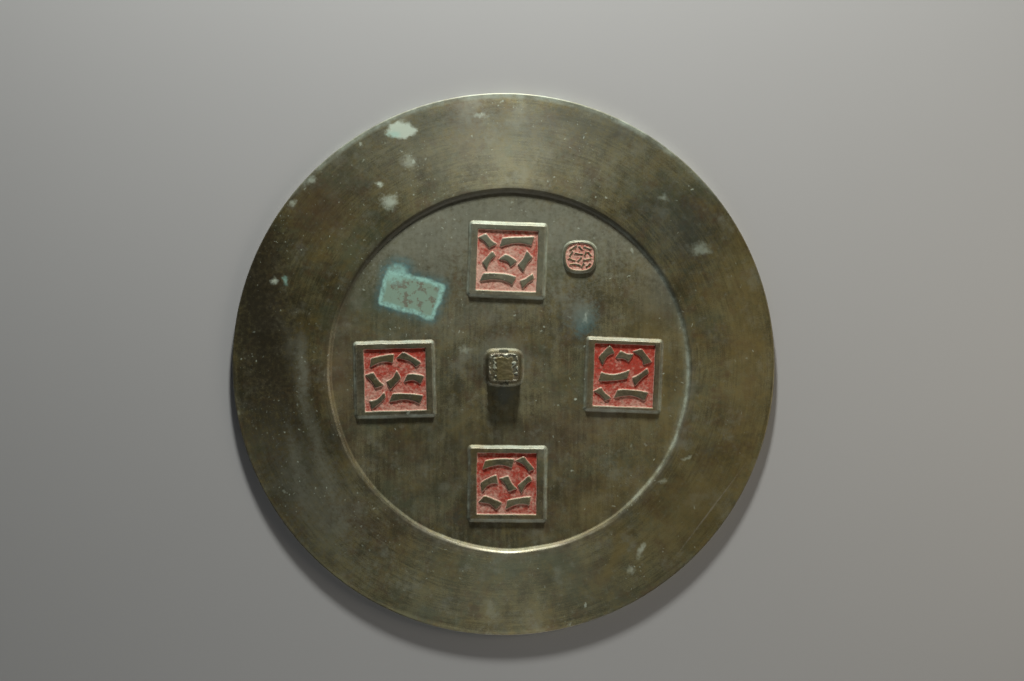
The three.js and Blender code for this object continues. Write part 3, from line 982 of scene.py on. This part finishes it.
class Finishes:
    """The mirror's materials, all made from one set of groups and the same colours."""

    def __init__(self, colours):
        self.colours = colours
        self.patch = patch_group()
        self.stain = stain_group()
        self.specks = speck_group()
        self.polish = polish_group()
        self.patina = patina_group()

    def start(self, name):
        material = bpy.data.materials.new(name)
        material.use_nodes = True
        graph = Graph(material.node_tree)
        shader = material.node_tree.nodes["Principled BSDF"]
        return material, graph, shader

    def paint(self, name):
        return rgba(getattr(self.colours, name))

    def wandering(self, g, place, share=1.0):
        """The place moved a little by noise, so that what is drawn with it has wavering edges."""
        broad_reach, fine_reach = (10 * share * MM,) * 3, (4 * share * MM,) * 3
        broad = g.node("ShaderNodeTexNoise", {"Vector": place, "Scale": 60.0, "Detail": 2.0}).outputs["Color"]
        fine = g.node("ShaderNodeTexNoise", {"Vector": place, "Scale": 300.0, "Detail": 4.0}).outputs["Color"]
        moved = g.vector("MULTIPLY_ADD", g.vector("SUBTRACT", broad, (0.5, 0.5, 0.5)), broad_reach, place)
        return g.vector("MULTIPLY_ADD", g.vector("SUBTRACT", fine, (0.5, 0.5, 0.5)), fine_reach, moved)

    def bronze(self, g, place, streak, surface, stains=()):
        """The patina with its stains and specks laid over it, and how far they cover the metal."""
        base = g.use(
            self.patina,
            Vector=place,
            Light=self.paint(f"light_{surface}"),
            Dark=self.paint(f"dark_{surface}"),
            Streak=streak,
            **{paint: self.paint(f"{paint.lower()}_bronze") for paint in PATINA_PAINTS},
        )
        tint, cover = base["Color"], 0.0
        moved = self.wandering(g, place)
        crumble = g.math("SUBTRACT", g.noise(place, 330.0, 5.0, 0.7), 0.5)
        for spec in stains:
            shape = {name: value for name, value in spec.items() if name != "Paint"}
            where = place if spec["Paint"] == "bare_metal_and_highlight" else moved
            laid = g.use(
                self.stain, Vector=where, Under=tint, Paint=self.paint(spec["Paint"]),
                Crumble=crumble, **shape
            )
            tint = laid["Color"]
            if spec["Paint"] in ("pale_crust_and_highlight", "turquoise"):
                cover = g.math("MAXIMUM", cover, laid["Mask"])
        cluster = g.remap(g.noise(place, 28.0, 3.0, 0.6), 0.42, 0.66)
        upper_left = g.vector("DOT_PRODUCT", place, (-0.7, 0.7, 0))
        share = g.math("MULTIPLY", g.remap(upper_left, -0.1, 0.16, 0.3, 1.0), cluster)
        small = g.use(
            self.specks, Vector=moved, Cells=330, Size=0.0009, Share=g.math("MULTIPLY", share, 0.75)
        )["Mask"]
        large = g.use(
            self.specks, Vector=moved, Cells=95, Size=0.0021, Share=g.math("MULTIPLY", share, 0.4)
        )["Mask"]
        specks = g.math("MULTIPLY", g.math("MAXIMUM", small, large), 0.5)
        tint = g.mix(specks, tint, self.paint("pale_crust_and_highlight"))
        cover = g.math("MAXIMUM", specks, cover)
        return tint, cover, base

    def label_stain(self, g, place, tint, cover):
        """A turquoise-rimmed block of crust left where something small once lay on the bronze."""
        moved = self.wandering(g, place, 0.55)
        distance = g.use(
            self.patch,
            Vector=moved,
            Centre=(-61.5 * MM, 46.5 * MM, 0),
            Half_Size=(17.4 * MM, 9.9 * MM, 0),
            Turn=math.radians(-17),
        )["Distance"]
        distance = g.math("SUBTRACT", distance, 1.5 * MM)
        corner = g.vector("DISTANCE", g.scaled(moved, (1, 1, 0)), (-70.7 * MM, 60 * MM, 0))
        corner = g.math("SUBTRACT", corner, 7.5 * MM)
        crumble = g.noise(place, 260.0, 4.0, 0.7)
        around = g.math("MINIMUM", distance, corner)
        halo = g.math(
            "MULTIPLY",
            g.remap(around, -1 * MM, 8 * MM, 1.0, 0.0),
            g.remap(crumble, 0.3, 0.65, 0.3, 0.95),
        )
        tint = g.mix(halo, tint, self.paint("teal_stain"))
        inside = g.remap(distance, -2.4 * MM, -0.4 * MM, 1.0, 0.0)
        marks = g.remap(
            g.noise(g.vector("ADD", place, (0.31, 0.07, 0)), 230.0, 3.0, 0.6), 0.51, 0.62, 0.0, 0.75
        )
        filling = g.mix(marks, (0.22, 0.36, 0.26, 1), self.paint("brown_bronze"))
        tint = g.mix(g.math("MULTIPLY", inside, 0.9), tint, filling)
        rim = g.remap(g.math("ABSOLUTE", g.math("ADD", distance, 0.5 * MM)), 0.4 * MM, 2.6 * MM, 1.0, 0.0)
        rim = g.math("MAXIMUM", rim, g.remap(corner, -3 * MM, 1.5 * MM, 0.8, 0.0))
        rim = g.math("MULTIPLY", rim, g.remap(crumble, 0.3, 0.6, 0.3, 1.0))
        tint = g.mix(rim, tint, self.paint("turquoise"))
        return tint, g.math("MAXIMUM", cover, g.math("MAXIMUM", rim, g.math("MULTIPLY", inside, 0.7)))

    def finish(self, g, shader, tint, cover, base, height=None, ior=2.3):
        """Joins the colour, and the base's gloss and metal where nothing covers them, to the shader."""
        bare = g.math("SUBTRACT", 1.0, cover, clamp=True)
        g.feed(shader.inputs["Base Color"], tint)
        g.feed(shader.inputs["Metallic"], g.math("MULTIPLY", base["Metallic"], bare))
        rough = g.math("MULTIPLY_ADD", cover, 0.3, base["Roughness"])
        g.feed(shader.inputs["Roughness"], g.math("MULTIPLY_ADD", g.attribute("wear_and_highlight"), -0.16, rough))
        bump = g.node(
            "ShaderNodeBump", {"Strength": 1.0, "Distance": 1.0, "Height": height or base["Height"]}
        )
        g.feed(shader.inputs["Normal"], bump.outputs[0])
        shader.inputs["IOR"].default_value = ior

    def worn(self, g, place, tint):
        """Metal rubbed bright where the piece's wear mask lies; on the disc the same mask also paints a
        highlight on the side of the step that faces the lamp.
        """
        wear_and_highlight = g.math("MULTIPLY", g.attribute("wear_and_highlight"), g.remap(g.noise(place, 240.0), 0.35, 0.6, 0.4, 1.0))
        return g.mix(g.math("MULTIPLY", wear_and_highlight, 0.45), tint, self.paint("bare_metal_and_highlight"))

    def shade_step(self, g, place, tint):
        """Painted shade in the step where the piece's mask lies, darkest on the far side of the step, where
        the step's shadow falls.
        """
        across = g.node("ShaderNodeSeparateXYZ", {0: place}).outputs[1]
        # Darkest on the far side of the step, where its shadow falls
        far = g.remap(across, 0.0, 0.09, 0.1, 0.85)
        return g.mix(g.math("MULTIPLY", g.attribute("painted_step_shade"), far), tint, self.paint("umber_bronze"))

    def crusted(self, g, place, tint, cover):
        """Pale green crust where the piece's mask of crust lies, and on the disc's far rim a painted
        highlight in the same pale colour.
        """
        broken = g.remap(g.noise(place, 70.0, 6.0, 0.75), 0.4, 0.66, 0.3, 1.0)
        crust = g.math("MULTIPLY", g.math("MULTIPLY", g.attribute("crust_and_highlight"), broken), 0.6)
        return g.mix(crust, tint, self.paint("pale_crust_and_highlight")), g.math("MAXIMUM", cover, crust)

    def field(self):
        """The sunken field, brushed from top to bottom, with the label's stain."""
        material, g, shader = self.start("patinated_bronze_field")
        place = g.coordinates()
        streak = g.noise(g.scaled(place, (1, 0.06, 0.2)), 520.0, 4.0, 0.6)
        tint, cover, base = self.bronze(g, place, streak, "field", FIELD_STAINS)
        tint, cover = self.label_stain(g, place, tint, cover)
        # On the disc, painted shade along the step and painted highlights on the lamp's side of the step and
        # along the far rim come in through its masks
        tint, cover = self.crusted(g, place, self.shade_step(g, place, tint), cover)
        self.finish(g, shader, self.worn(g, place, tint), cover, base)
        return material

    def band(self):
        """The plain band, polished round and round, so that its gloss fans out from the middle."""
        material, g, shader = self.start("patinated_bronze_band")
        place = g.coordinates()
        streak = g.use(self.polish, Vector=place)["Streak"]
        tint, cover, base = self.bronze(g, place, streak, "band", BAND_STAINS)
        # On the disc, painted shade along the step and painted highlights on the lamp's side of the step and
        # along the far rim come in through its masks
        tint, cover = self.crusted(g, place, self.shade_step(g, place, tint), cover)
        self.finish(g, shader, self.worn(g, place, tint), cover, base)
        shader.inputs["Anisotropic"].default_value = 0.62
        shader.inputs["Anisotropic Rotation"].default_value = 0.25
        tangent = g.node("ShaderNodeTangent", direction_type="RADIAL", axis="Z")
        g.feed(shader.inputs["Tangent"], tangent.outputs[0])
        return material

    def knob(self):
        """The knob: a worn brown stamp between pale crusted borders."""
        material, g, shader = self.start("patinated_bronze_knob")
        place = g.coordinates()
        tint, cover, base = self.bronze(g, place, g.noise(place, 700.0), "frame")
        tint = g.mix(g.math("MULTIPLY", g.attribute("stamp"), 0.5), tint, self.paint("ochre_bronze"))
        tint, cover = self.crusted(g, place, tint, cover)
        self.finish(g, shader, self.worn(g, place, tint), cover, base)
        return material

    def pigmented(self, name, ior):
        """The same bronze with worn red pigment where the piece's pigment mask lies."""
        material, g, shader = self.start(name)
        place = g.coordinates()
        tint, cover, base = self.bronze(g, place, g.noise(place, 700.0), "frame", FRAME_STAINS)
        tint, cover = self.crusted(g, place, tint, cover)
        tint = self.worn(g, place, tint)
        rubbed = g.noise(place, 520.0, 4.0, 0.65)
        patchy = g.noise(place, 110.0, 3.0, 0.6)
        paleness = g.math("MULTIPLY_ADD", g.math("SUBTRACT", rubbed, 0.5), 1.6, g.attribute("dust"))
        paleness = g.math("MULTIPLY_ADD", g.math("SUBTRACT", patchy, 0.5), 0.8, paleness)
        red = g.mix(g.remap(paleness, 0.0, 0.95), self.paint("red_pigment"), self.paint("pale_pigment"))
        ragged = g.math("MULTIPLY_ADD", g.noise(place, 900.0, 3.0), 0.5, -0.25)
        pigment = g.remap(g.math("ADD", g.attribute("pigment"), ragged), 0.25, 0.5)
        bald = g.remap(g.noise(place, 640.0, 3.0), 0.6, 0.72, 1.0, 0.35)
        pigment = g.math("MULTIPLY", pigment, bald)
        tint = g.mix(pigment, tint, red)
        grain = g.math("MULTIPLY", rubbed, g.math("MULTIPLY", pigment, 0.00012))
        height = g.math("ADD", base["Height"], grain)
        self.finish(g, shader, tint, g.math("MAXIMUM", cover, pigment), base, height, ior)
        return material

    def reflecting(self):
        """The plain polished face underneath, dulled by age."""
        material, g, shader = self.start("dulled_reflecting_face")
        place = g.coordinates()
        dull = g.remap(g.noise(place, 30.0, 5.0, 0.6), 0.4, 0.65)
        g.feed(shader.inputs["Base Color"], g.mix(dull, (0.42, 0.37, 0.25, 1), (0.17, 0.16, 0.11, 1)))
        g.feed(shader.inputs["Roughness"], g.math("MULTIPLY_ADD", dull, 0.3, 0.18))
        g.feed(shader.inputs["Metallic"], g.math("MULTIPLY_ADD", dull, -0.3, 1.0))
        height = g.math("MULTIPLY", g.noise(place, 700.0, 3.0), 0.000008)
        g.feed(
            shader.inputs["Normal"],
            g.node("ShaderNodeBump", {"Distance": 1.0, "Height": height}).outputs[0],
        )
        return material


FINISHES = {}


def finishes():
    """Every material by name, made once."""
    if not FINISHES:
        made = Finishes(bpy.context.scene.mirror_finish)
        FINISHES["field"] = made.field()
        FINISHES["band"] = made.band()
        FINISHES["face"] = made.reflecting()
        FINISHES["knob"] = made.knob()
        FINISHES["frame"] = made.pigmented("bronze_frame", 2.3)
        FINISHES["pigment"] = made.pigmented("red_pigment_on_bronze", 1.5)
    return FINISHES


def field_height():
    disc = bpy.context.scene.mirror_disc
    return disc.band_height - disc.field_depth


# ---------------------------------------------------------------- operators


class MIRROR_OT_disc(bpy.types.Operator):
    """Build the disc with its band, step, field and reflecting face"""

    bl_idname = "mirror.build_disc"
    bl_label = "Build Disc"

    def execute(self, context):
        made = finishes()
        piece = build_disc(context.scene.mirror_disc, [made["field"], made["band"], made["face"]])
        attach(piece, "root")
        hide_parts(MIRROR_NODE)
        return {"FINISHED"}


class MIRROR_OT_panels(bpy.types.Operator):
    """Build the four framed panels with their rows of strokes"""

    bl_idname = "mirror.build_panels"
    bl_label = "Build Panels"

    def execute(self, context):
        materials = [finishes()["frame"], finishes()["pigment"]]
        settings = context.scene.mirror_panels
        for index, (name, spec) in enumerate(PANELS.items()):
            piece = build_panel(settings, field_height(), name, spec, PANEL_SEED + 10 * index, materials)
            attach(piece, "root")
        return {"FINISHED"}


class MIRROR_OT_seal(bpy.types.Operator):
    """Build the small rounded seal"""

    bl_idname = "mirror.build_seal"
    bl_label = "Build Seal"

    def execute(self, context):
        piece = build_seal(
            context.scene.mirror_seal, field_height(), [finishes()["frame"], finishes()["pigment"]]
        )
        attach(piece, "root")
        return {"FINISHED"}


class MIRROR_OT_knob(bpy.types.Operator):
    """Build the square knob with its cord hole"""

    bl_idname = "mirror.build_knob"
    bl_label = "Build Knob"

    def execute(self, context):
        piece = build_knob(context.scene.mirror_knob, field_height(), [finishes()["knob"]])
        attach(piece, "root")
        return {"FINISHED"}


class MIRROR_OT_stage(bpy.types.Operator):
    """Build the floor, the lamps and the camera"""

    bl_idname = "mirror.build_stage"
    bl_label = "Build Stage"

    def execute(self, context):
        stage = context.scene.mirror_stage
        build_floor(stage)
        build_lamps(stage)
        build_surround(stage)
        build_camera()
        context.scene.view_settings.view_transform = "Standard"
        return {"FINISHED"}


def build_floor(s):
    bm = bmesh.new()
    bmesh.ops.create_grid(bm, x_segments=1, y_segments=1, size=3)
    material = bpy.data.materials.new("plain_floor")
    material.use_nodes = True
    g = Graph(material.node_tree)
    shader = material.node_tree.nodes["Principled BSDF"]
    mottle = g.noise(g.coordinates(), 6.0, 4.0)
    light = rgba(s.floor_colour)
    dim = rgba([value * 0.96 for value in s.floor_colour])
    g.feed(shader.inputs["Base Color"], g.mix(mottle, dim, light))
    shader.inputs["Roughness"].default_value = 0.85
    to_object(bm, "floor", [material])


def add_lamp(name, position, power, size, tint=(1, 1, 1)):
    """A round soft lamp turned toward the mirror."""
    lamp = bpy.data.lights.new(name, "AREA")
    lamp.shape = "DISK"
    lamp.energy = power
    lamp.size = size
    lamp.color = tint
    holder = bpy.data.objects.new(name, lamp)
    holder.location = position
    holder.rotation_euler = (-Vector(position)).to_track_quat("-Z", "Y").to_euler()
    bpy.context.scene.collection.objects.link(holder)


def build_lamps(s):
    main = (0.01, s.lamp_distance * math.cos(s.lamp_rise), s.lamp_distance * math.sin(s.lamp_rise))
    add_lamp("main_lamp", main, s.lamp_power, s.lamp_size, (1, 0.985, 0.92))
    add_lamp("side_lamp", (0.55, -0.02, 0.38), s.side_power, 0.38, (1, 0.86, 0.68))
    add_lamp("low_lamp", (0.05, -0.75, 0.22), s.low_power, 0.5, (1, 0.97, 0.92))


def build_surround(s):
    """Even light from all round, brighter near the horizon than overhead."""
    world = bpy.data.worlds.new("soft_surround")
    world.use_nodes = True
    g = Graph(world.node_tree)
    direction = g.node("ShaderNodeTexCoord").outputs["Generated"]
    height = g.node("ShaderNodeSeparateXYZ", {0: direction}).outputs[2]
    background = world.node_tree.nodes["Background"]
    background.inputs["Color"].default_value = (0.96, 0.98, 1, 1)
    g.feed(background.inputs["Strength"], g.remap(height, 0.2, 0.55, s.horizon, s.fill))
    bpy.context.scene.world = world


def build_camera():
    """Looks straight down on the back. The disc fills just over half of the picture's width."""
    lens, sensor = 90, 36
    share_of_width = 0.5297
    view_width = 2 * MIRROR_RADIUS / share_of_width
    camera = bpy.data.cameras.new("camera")
    camera.lens = lens
    camera.sensor_width = sensor
    camera.clip_start = 0.01
    holder = bpy.data.objects.new("camera", camera)
    holder.location = (5.65 * MM, 15.69 * MM, 6 * MM + view_width * lens / sensor)
    bpy.context.scene.collection.objects.link(holder)
    bpy.context.scene.camera = holder


class MIRROR_PT_sidebar(bpy.types.Panel):
    """Lists the build steps and the settings of each piece"""

    bl_idname = "MIRROR_PT_sidebar"
    bl_label = "Bronze Mirror"
    bl_space_type = "VIEW_3D"
    bl_region_type = "UI"
    bl_category = "Mirror"

    def draw(self, context):
        for settings, operators in STEPS.items():
            box = self.layout.box()
            group = getattr(context.scene, settings)
            for name in group.bl_rna.properties.keys():
                if name not in ("rna_type", "name"):
                    box.prop(group, name)
            for operator in operators:
                box.operator(operator.bl_idname)


STEPS = {
    "mirror_finish": [],
    "mirror_disc": [MIRROR_OT_disc],
    "mirror_panels": [MIRROR_OT_panels],
    "mirror_seal": [MIRROR_OT_seal],
    "mirror_knob": [MIRROR_OT_knob],
    "mirror_stage": [MIRROR_OT_stage],
}
SETTINGS = {
    "mirror_finish": FinishSettings,
    "mirror_disc": DiscSettings,
    "mirror_panels": PanelSettings,
    "mirror_seal": SealSettings,
    "mirror_knob": KnobSettings,
    "mirror_stage": StageSettings,
}
OPERATORS = [operator for operators in STEPS.values() for operator in operators]


def register():
    for group in [*SETTINGS.values(), *OPERATORS, MIRROR_PT_sidebar]:
        bpy.utils.register_class(group)
    for name, group in SETTINGS.items():
        setattr(bpy.types.Scene, name, PointerProperty(type=group))


def unregister():
    for name in SETTINGS:
        delattr(bpy.types.Scene, name)
    for group in [MIRROR_PT_sidebar, *reversed(OPERATORS), *SETTINGS.values()]:
        bpy.utils.unregister_class(group)


def main():
    register()
    bpy.ops.mirror.build_stage()
    bpy.ops.mirror.build_disc()
    bpy.ops.mirror.build_panels()
    bpy.ops.mirror.build_seal()
    bpy.ops.mirror.build_knob()
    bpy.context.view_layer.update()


if __name__ == "__main__":
    main()
